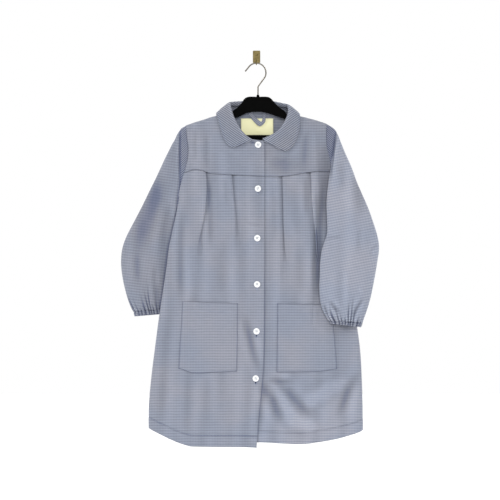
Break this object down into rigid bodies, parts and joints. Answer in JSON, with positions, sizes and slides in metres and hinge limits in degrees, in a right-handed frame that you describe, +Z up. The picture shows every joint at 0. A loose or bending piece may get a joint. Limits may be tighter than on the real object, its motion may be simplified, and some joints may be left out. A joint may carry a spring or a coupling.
{
  "type": "school smock",
  "caption": "Long-sleeved button-front child's smock with a rounded collar, pleated yoke and patch pockets, on a plastic hanger hung from a wall hook.",
  "frame": {"origin": "centre of the wall plate's back face, on the wall", "axes": "+Z up, +Y into the wall, -Y out of the front of the smock, -X towards the wearer's right side"},
  "size_m": [0.568, 0.0725, 0.8734],
  "materials": {
    "smock_check": "matte woven micro check in blue and white",
    "label_cream": "matte woven ribbon",
    "button_white": "satin",
    "hanger_black": "satin",
    "hook_steel": "polished wire",
    "wall_brass": "dull old brass"
  },
  "bodies": {
    "root": {"front_yoke_right": "smock_check", "front_yoke_left": "smock_check", "front_panel_right": "smock_check", "front_panel_left": "smock_check", "back_panel": "smock_check", "sleeve_right": "smock_check", "sleeve_left": "smock_check", "cuff_right": "smock_check", "cuff_left": "smock_check", "collar": "smock_check", "pocket_right": "smock_check", "pocket_left": "smock_check", "neck_loop": "smock_check", "neck_label": "label_cream", "button_1": "button_white", "button_2": "button_white", "button_3": "button_white", "button_4": "button_white", "button_5": "button_white", "button_6": "button_white", "hanger_body": "hanger_black", "hanger_ferrule": "hanger_black", "hanger_hook": "hook_steel", "wall_plate": "wall_brass", "wall_prong": "wall_brass", "wall_screw": "wall_brass"}
  },
  "joints": []
}
